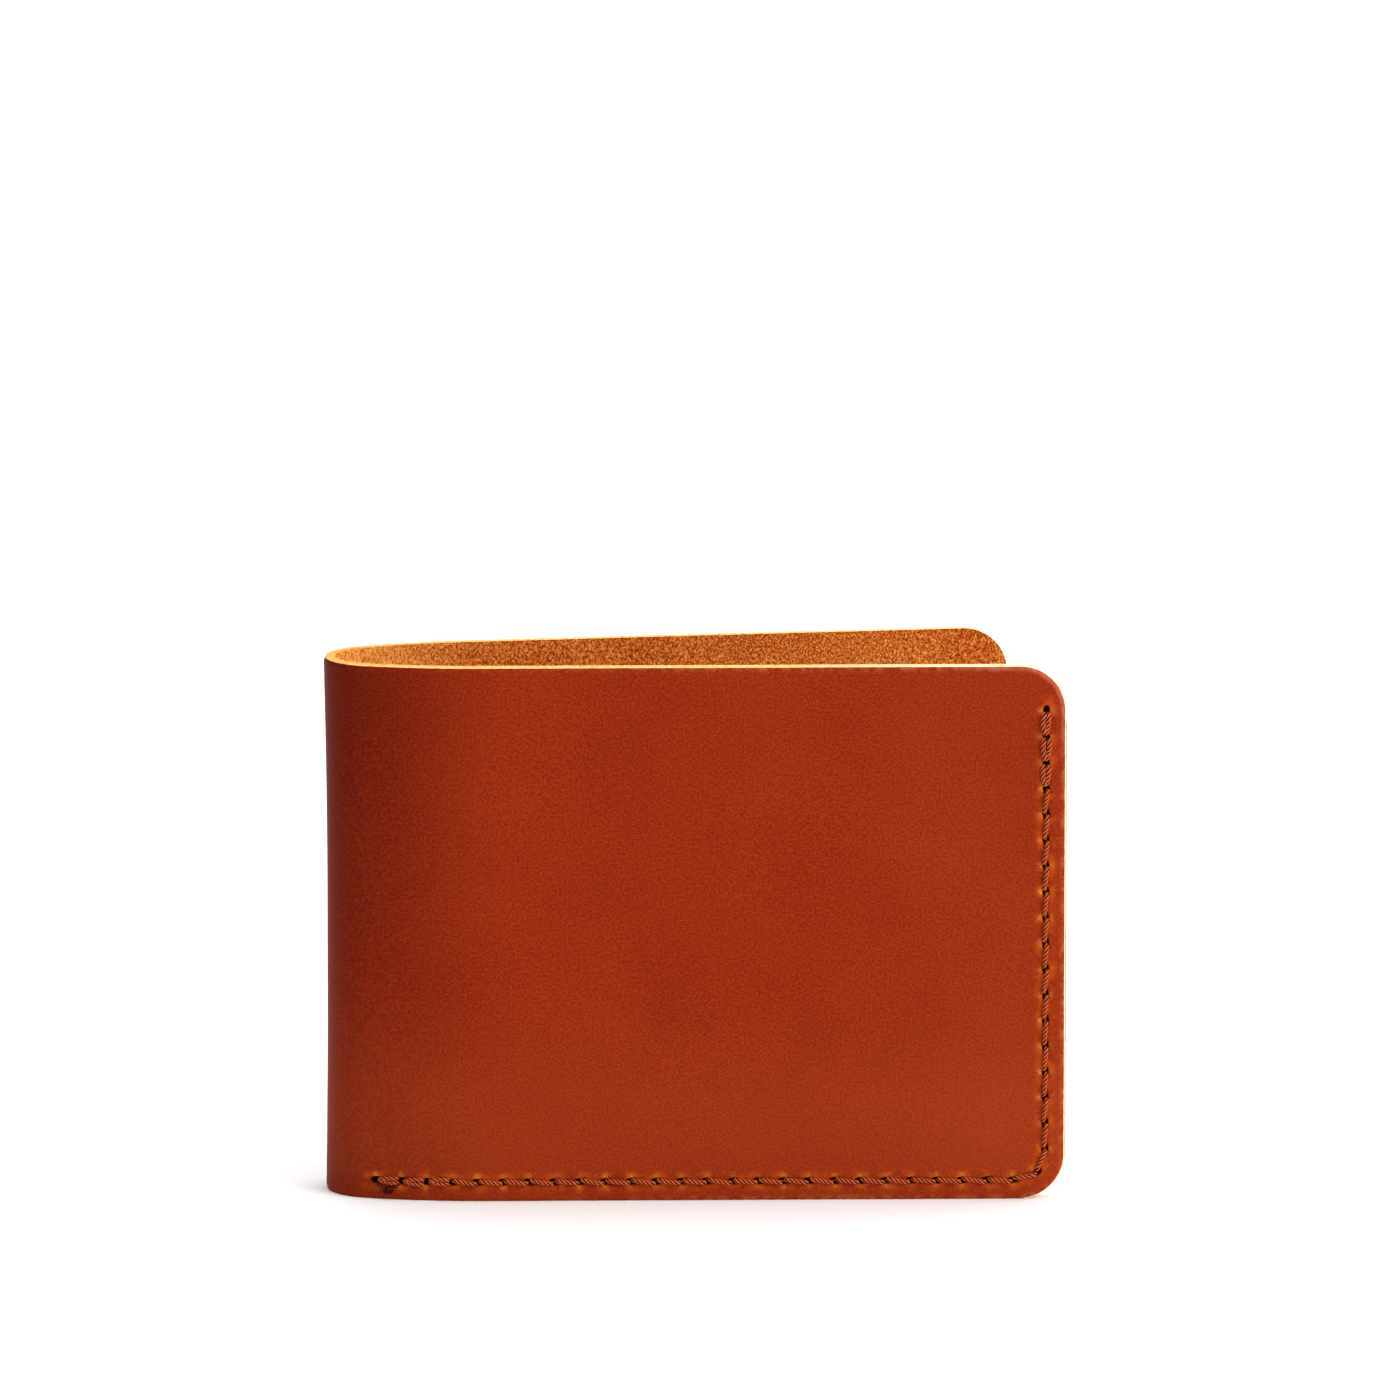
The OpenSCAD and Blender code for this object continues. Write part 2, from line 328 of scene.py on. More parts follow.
def strain_at(points, holes):
    """How far the awl has strained the grain beside each hole, more on the side away from the edge."""
    local, k = hole_places(points, holes)
    inner = local[:, 1] * np.sign(holes[-1, 0] - holes[0, 0] or 1) > 0
    strength = np.stack([chance.uniform(0.0, 0.6, len(holes)), chance.uniform(0.3, 1.0, len(holes))])
    beside = np.exp(-(local[:, 0] / 0.5) ** 2 - (np.maximum(np.abs(local[:, 1]) - 0.5, 0) / 0.6) ** 2)
    return beside * strength[inner.astype(int), k]


def ring_round_holes(holes, radius):
    """Points round every hole at one distance, in the measure of hole_distance."""
    turn = (np.arange(12) / 12 * 2 * math.pi + radius * 7) if radius else np.zeros(1)
    local = radius * SLIT * np.stack([np.cos(turn), np.sin(turn)], 1)
    along = seam_directions(holes)
    across = np.stack([-along[:, 1], along[:, 0]], 1)
    return (holes[:, None] + local[:, :1] * along[:, None] + local[:, 1:] * across[:, None]).reshape(-1, 2)


def row_of_holes(a, b):
    """Holes from a to b, as near to a stitch apart as fits."""
    steps = round(math.dist(a, b) / STITCH)
    return [np.array(a) + (np.array(b) - np.array(a)) * k / steps for k in range(steps + 1)]


def edge_seam(length):
    """Along the bottom, one stitch across the corner, and up the free edge."""
    corner_in = (CORNER_R - SEAM_INSET) * (1 - math.sin(math.radians(45)))
    corner_leg = corner_in + math.sqrt(STITCH ** 2 - corner_in ** 2)
    end = length - SEAM_INSET
    bottom = row_of_holes((seam_s, SEAM_INSET), (end - corner_leg, SEAM_INSET))
    corner = [np.array([end - corner_in, SEAM_INSET + corner_in])]
    side = row_of_holes((end, SEAM_INSET + corner_leg), (end, bill_h + 1))
    return np.array(bottom + corner + side)


def side_seam():
    """Up the fold side of the pockets."""
    return np.array(row_of_holes((side_seam_s, SEAM_INSET + STITCH), (side_seam_s, upper_mouth - 1)))


def tab_ends(length):
    """Where a pocket's tab starts and stops along the leather."""
    return side_seam_s + TAB_INSET, length - SEAM_INSET - TAB_INSET


def tab_seam(length, mouth):
    """Along the foot of a pocket's tab."""
    low, high = tab_ends(length)
    z = mouth - TAB_DEPTH
    return np.array(row_of_holes((low + FOOT_RISE, z), (high - FOOT_RISE, z)))


# ---- relief of the leather's faces
# slow waves over a handled sheet: radians for each millimetre along s and z, phase and weight
WAVES = [(0.11, 0.05, 0.3, 1.3), (0.045, -0.12, 2.1, 1.0), (-0.19, 0.16, 4.0, 0.6), (0.31, 0.27, 1.2, 0.3)]
WAVE_DEPTH = 0.02


def unevenness(points):
    total = np.zeros(len(points))
    for ks, kz, phase, weight in WAVES:
        total += weight * np.sin(ks * points[:, 0] + kz * points[:, 1] + phase)
    return WAVE_DEPTH * total


def stitch_relief(points, holes, depth=0.7):
    """How far sewing pulls the leather in: a channel under the thread and a pit at each hole."""
    total = np.zeros(len(points))
    low, high = holes.min(0) - 4, holes.max(0) + 4
    near = ((points > low) & (points < high)).all(1)
    if near.any():
        p = points[near]
        line, hole = line_distance(p, holes), hole_distance(p, holes)
        total[near] = (0.12 * np.exp(-(line / 0.65) ** 2) - 0.05 * np.exp(-((line - 1.5) / 0.6) ** 2)
                       + 0.12 * np.exp(-(hole / 1.6) ** 2) - 0.10 * np.exp(-((hole - 1.05) / 0.3) ** 2)
                       + depth * (1 - smooth(0.35, 0.74, hole)))
    return total


def shoulder(e, deep, wide):
    """Rounding of a die-cut edge: how far the face falls at distance e from the edge."""
    return deep * np.clip(1 - e / wide, 0, 1) ** 2


# ---- building a sheet of leather
GRAIN, EDGE, FLESH = 0, 1, 2            # material slots
GRAIN_ROUNDING = (0.3, 0.9)             # depth and width of a grain face's rounded edge
FLESH_ROUNDING = (0.06, 0.12)
FAR = 4.0                               # distances are stored no larger than this
BAND_ROWS = (0.12, 0.35, 0.65, 0.88)    # rows of points over the cut edge, as shares of the thickness
BELLY = 0.05                            # how far the cut edge stands out between the two faces
EDGE_CLEAR = 0.45                       # from the innermost row along an edge to the other points
SEAM_FINE, SEAM_CLEAR = 2.5, 2.6        # fine points reach this far from a seam, and coarse ones start here
FINE_GAP, SEAM_BOX = 0.5, 3.0           # spacing of the fine points, and how far their box passes the seam
HOLE_RINGS = (0.0, 0.3, 0.45, 0.6, 0.75, 0.9, 1.15, 1.45)       # rings of points round each hole
chance = np.random.default_rng(11)


def triangulate(outline, extra):
    """Triangles over a flat outline, anticlockwise, that use every extra point."""
    coords = [Vector(p) for p in np.concatenate([outline, extra])]
    loop = list(range(len(outline)))
    verts, _, faces, origin, _, _ = delaunay_2d_cdt(coords, [], [loop], 1, 1e-5)
    flat = np.array([v[:] for v in verts])
    first = {}
    for k, source in enumerate(origin):
        for old in source:
            first.setdefault(old, k)
    ring = [first[k] for k in loop]
    faces = np.array([f for f in faces if len(f) == 3])
    a, b, c = flat[faces[:, 0]], flat[faces[:, 1]], flat[faces[:, 2]]
    turn = (b[:, 0] - a[:, 0]) * (c[:, 1] - a[:, 1]) - (b[:, 1] - a[:, 1]) * (c[:, 0] - a[:, 0])
    faces[turn < 0] = faces[turn < 0][:, ::-1]
    return flat, faces[np.abs(turn) > 1e-9], ring


def face_normals(flat, depth_of, side):
    """Unit normals of a bent face at its flat points, from differences of its places."""
    d = 0.02
    along = [place(flat[:, 0] + k, flat[:, 1], depth_of(flat + [k, 0])) for k in (-d, d)]
    up = [place(flat[:, 0], flat[:, 1] + k, depth_of(flat + [0, k])) for k in (-d, d)]
    return unit(np.cross(along[1] - along[0], up[1] - up[0]) * side)


def add_object(name, data):
    thing = bpy.data.objects.new(name, data)
    scene.collection.objects.link(thing)
    return thing


def add_piece(name, places, faces, flats, materials):
    """A smooth object whose points carry their flat places, or what thread has in their stead."""
    mesh = bpy.data.meshes.new(name)
    mesh.from_pydata(np.concatenate(places).tolist(), [], faces)
    mesh.polygons.foreach_set("use_smooth", [True] * len(faces))
    flats = np.concatenate(flats)
    mesh.attributes.new("flat", "FLOAT_VECTOR", "POINT").data.foreach_set("vector", flats.ravel())
    for material in materials:
        mesh.materials.append(material)
    return add_object(name, mesh)


class Surface:
    """Points, faces, material slots and normals of a mesh, collected part by part."""

    def __init__(self):
        self.places, self.flats, self.faces, self.slots, self.normals = [], [], [], [], []
        self.count = 0

    def add_points(self, flat, depth):
        """Adds bent points, and returns their numbers."""
        self.places.append(place(flat[:, 0], flat[:, 1], depth))
        self.flats.append(np.column_stack([flat, depth]))
        self.count += len(flat)
        return np.arange(self.count - len(flat), self.count)

    def add_faces(self, faces, slots, normals):
        """Adds faces, each with its material slot, and a normal for each of their corners."""
        self.faces += faces.tolist()
        self.slots += slots
        self.normals.append(normals)

    def piece(self, name, materials, **attributes):
        """An object made of what was collected, with more values stored on its points."""
        piece = add_piece(name, self.places, self.faces, self.flats, materials)
        mesh = piece.data
        mesh.polygons.foreach_set("material_index", self.slots)
        for label, values in attributes.items():
            mesh.attributes.new(label, "FLOAT", "POINT").data.foreach_set("value", values)
        mesh.normals_split_custom_set(np.concatenate(self.normals).tolist())
        return piece


def rounded(base, outline, cuts, sign, rounding):
    """Depth of a face with rounded edges, as a function of flat points."""
    def depth_of(points):
        return base(points) + sign * shoulder(edge_distance(points, outline, cuts), *rounding)
    return depth_of


def face_spots(outline, cuts, rings, holes, gap):
    """Points inside an outline: rows along its edge, a grid, and finer points round a seam's holes."""
    low, high = outline.min(0), outline.max(0)
    margin = rings[-1] + EDGE_CLEAR
    spots = grid_points(low, high, gap)
    if len(holes):
        near = ((spots > holes.min(0) - SEAM_BOX) & (spots < holes.max(0) + SEAM_BOX)).all(1)
        clear = np.ones(len(spots), bool)
        clear[near] = line_distance(spots[near], holes) > SEAM_CLEAR
        fine = grid_points(holes.min(0) - SEAM_BOX, holes.max(0) + SEAM_BOX, FINE_GAP)
        clear_of_holes = hole_distance(fine, holes) > HOLE_RINGS[-1] + 0.2
        fine = fine[(line_distance(fine, holes) < SEAM_FINE) & clear_of_holes]
        spots = np.concatenate([spots[clear], fine])
    keep = inside(spots, outline) & (edge_distance(spots, outline, cuts) > margin)
    keep &= (spots[:, 0] > low[0] + 0.3) & (spots[:, 0] < high[0] - 0.3)
    groups = [inset(outline, cuts, by) for by in rings] + [spots[keep]]
    for radius in HOLE_RINGS if len(holes) else ():
        ring = ring_round_holes(holes, radius)
        keep = inside(ring, outline) & (edge_distance(ring, outline, cuts) > margin - 0.3)
        groups.append(ring[keep])
    points = np.concatenate(groups)
    _, unique = np.unique(np.round(points, 4), axis=0, return_index=True)
    return points[np.sort(unique)]


def add_face(surface, outline, spots, depth_of, side, slot):
    """Triangles over one face of a sheet. Returns the numbers of the points round its outline."""
    flat, faces, ring = triangulate(outline, spots)
    numbers = surface.add_points(flat, depth_of(flat))
    normal = face_normals(flat, depth_of, side)
    order = faces[:, ::side]
    surface.add_faces(order + numbers[0], [slot] * len(order), normal[order.ravel()])
    return numbers[ring]


def bent_direction(direction, s):
    """Flat directions in the frame, where the plan is bent as at s."""
    bend = np.interp(s, plan_s, plan_bend)
    return np.stack([direction[:, 0] * np.sin(bend), -direction[:, 0] * np.cos(bend), direction[:, 1]], -1)


def add_cut_edge(surface, outline, cuts, depths, loops):
    """The edge between the two faces, whose depths and point numbers round the outline are given.

    It bellies out a little and is uneven, except at a cut, where the next piece carries on."""
    step = np.roll(outline, -1, 0) - outline
    away = unit(np.stack([step[:, 1], -step[:, 0]], 1))
    vertex_away = unit(away + np.roll(away, 1, 0))
    is_soft = (away * np.roll(away, 1, 0)).sum(1) > 0.9
    is_free = ~(cuts | np.roll(cuts, 1))
    rows = [loops[0]]
    for share in BAND_ROWS:
        fuzz = np.sin(outline[:, 0] * 5.1 + share * 9) * np.sin(outline[:, 1] * 4.3 + share * 5)
        belly = BELLY * (math.sin(math.pi * share) + fuzz) * is_free
        flat = np.maximum(outline + vertex_away * belly[:, None], (-np.inf, 0))
        rows.append(surface.add_points(flat, depths[0] + (depths[1] - depths[0]) * share))
    rows.append(loops[1])

    after = np.roll(np.arange(len(outline)), -1)
    at_start = bent_direction(np.where(is_soft[:, None], vertex_away, away), outline[:, 0])
    at_end = bent_direction(np.where(is_soft[after][:, None], vertex_away[after], away), outline[after, 0])
    normals = np.stack([at_start, at_start, at_end, at_end], 1).reshape(-1, 3)
    for k, (upper, under) in enumerate(zip(rows[:-1], rows[1:])):
        quads = np.stack([upper, under, under[after], upper[after]], 1)
        surface.add_faces(quads, np.where(cuts, GRAIN if k < 2 else FLESH, EDGE).tolist(), normals)


def leather(name, outline, cuts, outer, inner, materials, grain_outside=True, holes=(), gap=1.7,
            rounding=GRAIN_ROUNDING):
    """A sheet with a grain face, a flesh face and a raw cut edge.

    outer and inner give each face's depth at flat points; holes lie along a seam; gap is the
    spacing of points away from edges and seams; rounding is that of the grain face's edge."""
    surface = Surface()
    depths, loops = [], []
    for base, side in ((outer, 1), (inner, -1)):
        is_grain = (side > 0) == grain_outside
        depth_of = rounded(base, outline, cuts, side, rounding if is_grain else FLESH_ROUNDING)
        spots = face_spots(outline, cuts, RINGS if is_grain else FLESH_RINGS, holes, gap)
        loops.append(add_face(surface, outline, spots, depth_of, side, GRAIN if is_grain else FLESH))
        depths.append(depth_of(outline))
    add_cut_edge(surface, outline, cuts, depths, loops)

    flat = np.concatenate(surface.flats)[:, :2]
    from_hole, strain = np.full(len(flat), FAR), np.zeros(len(flat))
    if len(holes):
        from_hole, strain = np.minimum(FAR, hole_distance(flat, holes)), strain_at(flat, holes)
    from_edge = np.minimum(FAR, edge_distance(flat, outline, cuts))
    return surface.piece(name, materials, from_hole=from_hole, strain=strain, from_edge=from_edge)


# ---- thread
PLY_R, PLY_RING, TWIST_PITCH = 0.19, 0.22, 2.1
PLY_SIDES = 8
SINK, RISE = 0.9, 0.34      # of a stitch's ends into the leather, and of its middle over it
SLANT = 0.26                # how far a stitch's ends lie off the seam's line
SINGLE, DOUBLE, FIRST_DOUBLE = 0.86, 0.97, 0.78     # thickness of stitches sewn once, and twice
KNOT_DROP = 1.3             # from the seam down to the knot of its tail


def resample(path, count):
    """Evenly spaced points along a path."""
    travel = travelled(path)
    even = np.linspace(0, travel[-1], count)
    return np.stack([np.interp(even, travel, column) for column in path.T], 1)


def stitch_path(a, b, slant, offset, reach):
    """A stitch from hole a to hole b: flat places, heights over the leather, and its cross direction.

    reach is half its length as a share of the way between the holes; offset bows it sideways."""
    phi = np.linspace(0, math.pi, 400)
    length = norm(b - a)
    along = length * (0.5 - reach * np.sign(np.cos(phi)) * np.abs(np.cos(phi)) ** 0.4)
    arch = resample(np.stack([along, -SINK + (SINK + RISE) * np.sin(phi) ** 0.4], 1), 26)
    share, rise = arch[:, 0] / length, arch[:, 1]
    u = (b - a) / length
    v = np.array([-u[1], u[0]])
    lean = slant * (1 - 2 * share) + offset * np.sin(math.pi * np.clip(share, 0.1, 0.9)) ** 0.7
    return a + np.outer(share, b - a) + lean[:, None] * v, rise, v


def ply_tube(centre, cross, normal, thin, travel, turn):
    """Points of one ply, ring after ring, and how far each lies from the thread's middle."""
    a = 2 * math.pi * (travel / TWIST_PITCH) + turn
    ring = 2 * math.pi * np.arange(PLY_SIDES) / PLY_SIDES
    off = PLY_RING * (np.cos(a)[:, None] * cross + np.sin(a)[:, None] * normal) * thin
    wall = PLY_R * (np.cos(ring)[None, :, None] * cross[:, None]
                    + np.sin(ring)[None, :, None] * normal[:, None]) * thin[:, None]
    swell = norm(off[:, None] + wall, axis=2) / np.maximum(thin, 0.75)
    tube = centre[:, None] + off[:, None] + wall
    labels = np.column_stack([np.repeat(travel, PLY_SIDES), np.tile(ring, len(centre)), swell.ravel()])
    return tube.reshape(-1, 3), labels


def tube_faces(start, count, side):
    """Faces of a closed tube of count rings that start at point start."""
    faces = []
    for i in range(count - 1):
        for j in range(PLY_SIDES):
            p, q = start + i * PLY_SIDES + j, start + i * PLY_SIDES + (j + 1) % PLY_SIDES
            faces.append([p, q, q + PLY_SIDES, p + PLY_SIDES])
    first = list(range(start, start + PLY_SIDES))
    faces += [first[::-1], [p + (count - 1) * PLY_SIDES for p in first]]
    return faces if side > 0 else [face[::-1] for face in faces]


def sew(name, runs, material):
    """Twisted thread along runs of (flat, height, cross, depth, side, thickness), joined in one mesh.

    Its points carry how far along the thread and how far round their ply they are, and their swell."""
    places, labels, faces = [], [], []
    start = 0
    for flat, rise, v, depth, side, thick in runs:
        centre = np.column_stack([flat, rise])
        tangent = unit(np.gradient(centre, axis=0))
        normal = unit(np.cross(tangent, (v[0], v[1], 0.0)))
        cross = np.cross(normal, tangent)
        travel = travelled(centre)
        phase = chance.uniform(0, 2 * math.pi)
        thin = (thick * (0.7 + 0.3 * smooth(-0.5, 0.2, rise)))[:, None]
        for ply in range(3):
            tube, marks = ply_tube(centre, cross, normal, thin, travel, 2 * math.pi * ply / 3 + phase)
            places.append(place(tube[:, 0], tube[:, 1], depth - side * tube[:, 2]))
            labels.append(marks + (phase, 0, 0))
            faces += tube_faces(start, len(centre), side)
            start += len(tube)
    return add_piece(name, places, faces, labels, [material])


def seam_runs(holes, outer_of, inner_of, doubled, tail):
    """Stitches on both faces of a seam, with a number sewn twice at each end, and maybe a tail."""
    last = len(holes) - 1
    handed = np.sign(holes[-1, 0] - holes[0, 0] or 1)
    for side, depth_of in ((1, outer_of), (-1, inner_of)):
        for k, (a, b) in enumerate(zip(holes[:-1], holes[1:])):
            depth = float(depth_of(((a + b) / 2)[None])[0])
            slant = handed * (SLANT + chance.uniform(-0.07, 0.07))
            starts_seam = k < doubled
            twice = starts_seam or k >= last - doubled
            bow = chance.uniform(0.34, 0.5) * (0.65 if starts_seam else 1)
            shift = chance.uniform(-0.12, 0.12)
            near, far = chance.uniform(0.35, 0.39, 2)
            thick = SINGLE if not twice else FIRST_DOUBLE if starts_seam else DOUBLE
            strands = ((shift - bow, 0.9, near), (shift + bow, -0.5, far)) if twice else ((0.0, 1, 0.43),)
            for offset, turn, reach in strands:
                flat, rise, v = stitch_path(a, b, slant * turn, offset, reach)
                yield flat, rise + chance.uniform(-0.06, 0.06), v, depth, side, thick
        if tail and side > 0:
            yield from tail_runs(holes, float(depth_of(holes[:1])[0]))


def tail_runs(holes, depth):
    """Both ends of the thread, drawn together below the first stitch and melted into a knot."""
    a, b = holes[:2]
    knot = (a + b) / 2 - [0, KNOT_DROP]
    for hole, bow in ((a, -0.3), (b, 0.35)):
        t = np.linspace(0, 1, 22)
        u = (knot - hole) / norm(knot - hole)
        v = np.array([-u[1], u[0]])
        flat = hole + np.outer(t, knot - hole) + (bow * np.sin(math.pi * t))[:, None] * v
        yield flat, -0.6 + 0.9 * smooth(0, 0.35, t), v, depth, 1, 0.6
    turn = np.linspace(0, 1.7 * math.pi, 16)
    loop = knot + 0.28 * np.stack([np.cos(turn), np.sin(turn)], 1)
    yield loop, 0.3 + 0.2 * np.sin(turn / 2), np.array([0.0, 1.0]), depth, 1, 0.5
    for angle in np.radians([-150, -115, -85, -55, -20]):
        way = np.array([math.cos(angle), math.sin(angle)])
        t = np.linspace(0, 1, 9)
        flat = knot + np.outer(t * chance.uniform(0.7, 1.1), way)
        yield flat, 0.3 - 0.2 * t, np.array([-way[1], way[0]]), depth, 1, 0.3


# ---- materials


def set_socket(socket, value):
    """Links a node's output to a socket, or sets the socket's own value."""
    if hasattr(value, "is_output"):
        socket.id_data.links.new(value, socket)
    else:
        socket.default_value = value


class Nodes:
    """A node tree, with one short call for each node."""

    def __init__(self, tree):
        self.tree = tree

    def add(self, kind, output=0, inputs=(), **settings):
        node = self.tree.nodes.new(kind)
        for key, value in settings.items():
            setattr(node, key, value)
        for key, value in dict(inputs).items():
            set_socket(node.inputs[key], value)
        return node.outputs[output]

    def attribute(self, name, output="Vector"):
        return self.add("ShaderNodeAttribute", output, attribute_name=name)

    def times(self, a, b):
        return self.math("MULTIPLY", a, b)

    def plus(self, a, b):
        return self.math("ADD", a, b)

    def math(self, operation, a, b=0.0):
        return self.add("ShaderNodeMath", 0, {0: a, 1: b}, operation=operation)

    def part(self, vector, number):
        return self.add("ShaderNodeSeparateXYZ", number, {"Vector": vector})

    def span(self, value, low, high, at_low=0.0, at_high=1.0, shape="SMOOTHSTEP"):
        """A step from at_low to at_high, smooth or LINEAR, while value goes from low to high."""
        return self.add("ShaderNodeMapRange", 0, {
            "Value": value, "From Min": low, "From Max": high, "To Min": at_low, "To Max": at_high},
            interpolation_type=shape)

    def noise(self, vector, scale, detail=3.0, rough=0.55):
        return self.add("ShaderNodeTexNoise", "Fac",
                        {"Vector": vector, "Scale": scale, "Detail": detail, "Roughness": rough})

    def stretch(self, vector, scale):
        return self.add("ShaderNodeMapping", 0, {"Vector": vector, "Scale": scale})

    def ramp(self, factor, stops):
        node = self.tree.nodes.new("ShaderNodeValToRGB")
        ramp = node.color_ramp
        ramp.elements[0].position, ramp.elements[0].color = stops[0][0], (*stops[0][1], 1)
        ramp.elements[1].position, ramp.elements[1].color = stops[-1][0], (*stops[-1][1], 1)
        for position, colour in stops[1:-1]:
            ramp.elements.new(position).color = (*colour, 1)
        self.tree.links.new(factor, node.inputs[0])
        return node.outputs[0]

    def mix(self, factor, a, b, blend="MIX"):
        node = self.tree.nodes.new("ShaderNodeMix")
        node.data_type, node.blend_type = "RGBA", blend
        for key, value in (("Factor_Float", factor), ("A_Color", a), ("B_Color", b)):
            target = next(x for x in node.inputs if x.identifier == key)
            set_socket(target, value)
        return next(x for x in node.outputs if x.identifier == "Result_Color")

    def bump(self, height, strength, distance, normal=None):
        inputs = {"Height": height, "Strength": strength, "Distance": distance}
        if normal is not None:
            inputs["Normal"] = normal
        return self.add("ShaderNodeBump", 0, inputs)


class Material(Nodes):
    """The nodes of a new material."""

    def __init__(self, name):
        self.material = bpy.data.materials.new(name)
        self.material.use_nodes = True
        super().__init__(self.material.node_tree)
        self.tree.nodes.clear()

    def finish(self, **inputs):
        """The material, with these values or nodes on its one shader."""
        shader = self.tree.nodes.new("ShaderNodeBsdfPrincipled")
        for key, value in inputs.items():
            set_socket(shader.inputs[key.replace("_", " ")], value)
        output = self.tree.nodes.new("ShaderNodeOutputMaterial")
        self.tree.links.new(shader.outputs[0], output.inputs[0])
        return self.material


FOLD_SHADE = (0.50, 0.37, 0.45, 1)           # painted shade round the fold, where it turns away from the light, as a share of the rest
PAINTED_LIGHT_TINT = (0.46, 0.078, 0.020, 1)          # painted light: lighter near the bottom, where the floor throws light up, and towards the free edge
HANDLED_TINT = (0.60, 0.085, 0.006, 1)      # rubbed leather round the holes
STRAINED_TINT = (0.92, 0.30, 0.035, 1)      # grain that the awl has stretched
# painted highlight along the grain's rounded edge, in place of its sheen
EDGE_SHEEN_TINT = (0.60, 0.16, 0.06, 1)
# painted highlight on the top corner's rounded edge
CORNER_HIGHLIGHT_TINT = (0.60, 0.20, 0.13, 1)
# the bare core's colour, with painted shade towards the fold and painted light towards the free edge
SHADED_CORE, LIT_CORE = (0.98, 0.62, 0.22, 1), (1.0, 0.83, 0.52, 1)
# painted shade inside the stitch holes
HOLE_SHADE = (0.02, 0.003, 0.001, 1)


def grain_leather(name, dark, mid, light):
    """Smooth dyed leather: fine mottling, painted shade round the fold, painted light near the bottom and
    the free edge, painted highlights along the rounded edges, strained pale at the stitch holes, with
    painted shade in them.
    """
    n = Material(name)
    flat = n.attribute("flat")
    from_hole, from_edge = n.attribute("from_hole", "Fac"), n.attribute("from_edge", "Fac")
    z, away = n.part(flat, 1), n.math("ABSOLUTE", n.part(flat, 0))
    clouds, specks = n.noise(flat, 0.05, 3.0, 0.55), n.noise(flat, 2.8, 3.0, 0.9)
    tone = n.plus(n.times(clouds, 0.1), n.times(specks, 0.9))
    colour = n.ramp(tone, [(0.42, dark), (0.5, mid), (0.58, light)])
    # painted shade: darker round the fold, most at the top, where the fold turns away from the light
    fold = n.times(n.span(away, 2, 35, 1, 0), n.span(z, 5, cover_h, 0.42, 0.95))
    colour = n.mix(fold, colour, FOLD_SHADE, "MULTIPLY")
    # painted light: lighter near the bottom, where the floor throws light up, and towards the free edge
    low = n.times(n.span(z, 8, 36, 0.16, 0), n.span(z, 0, 6, 0.5, 1))
    pale = n.plus(low, n.span(away, 75, 110, 0, 0.07))
    colour = n.mix(pale, colour, PAINTED_LIGHT_TINT)
    # patches of rubbed leather round the holes, which also break up the painted edge highlight
    wear_and_sheen_patches = n.span(n.noise(flat, 0.45, 3.0), 0.42, 0.60)
    near_hole = n.times(n.span(from_hole, 0.7, 2.6, 0.6, 0), wear_and_sheen_patches)
    colour = n.mix(near_hole, colour, HANDLED_TINT)
    lip = n.times(n.attribute("strain", "Fac"), n.span(n.noise(flat, 2.2), 0.30, 0.62, 0.3, 1))
    colour = n.mix(lip, colour, STRAINED_TINT)
    # painted highlight: a pinkish band along the rounded edge in place of its sheen, stronger towards the
    # free edge
    edge_sheen = n.times(n.span(from_edge, 0.2, 1.2, 1, 0), n.span(away, 20, 80, 0.05, 0.35))
    colour = n.mix(n.times(edge_sheen, wear_and_sheen_patches), colour, EDGE_SHEEN_TINT)
    # painted highlight on the rounded edge at the top corner by the free edge
    corner = n.times(n.span(away, 96, 110), n.span(z, cover_h - 16, cover_h - 4, 0, 0.3))
    rim = n.times(n.span(from_edge, 0.1, 0.3), n.span(from_edge, 0.4, 1.0, 1, 0))
    colour = n.mix(n.times(corner, rim), colour, CORNER_HIGHLIGHT_TINT)
    top = n.math("MAXIMUM", n.span(z, cover_h - 0.7, cover_h - 0.3, 0.02, 0.15),
                 n.span(away, back_len - 0.8, back_len - 0.4, 0.02, 0.13))
    ragged = n.plus(from_edge, n.times(n.noise(flat, 1.1), 0.12))
    bare = n.span(n.math("SUBTRACT", ragged, top), 0.03, 0.09, 1, 0)
    # the pale core where the dye stops at the top edge, with painted light: darker towards the fold and
    # paler towards the free edge
    colour = n.mix(bare, colour, n.mix(n.span(away, 60, 105), SHADED_CORE, LIT_CORE))
    # painted shade: the stitch holes are painted nearly black
    colour = n.mix(n.span(from_hole, 0.5, 0.76, 1, 0), colour, HOLE_SHADE)
    pores = n.add("ShaderNodeTexVoronoi", "Distance", {"Vector": flat, "Scale": 2.4})
    coarse = n.bump(n.noise(flat, 0.7, 4.0, 0.6), 0.25, 0.10 * MM)
    fine = n.bump(n.plus(pores, specks), 0.5, 0.03 * MM, coarse)
    rough = n.math("SUBTRACT", n.span(specks, 0.3, 0.7, 0.46, 0.60), n.span(from_edge, 0.4, 1.4, 0.05, 0))
    return n.finish(Base_Color=colour, Roughness=rough, Normal=fine, Specular_IOR_Level=0.04)


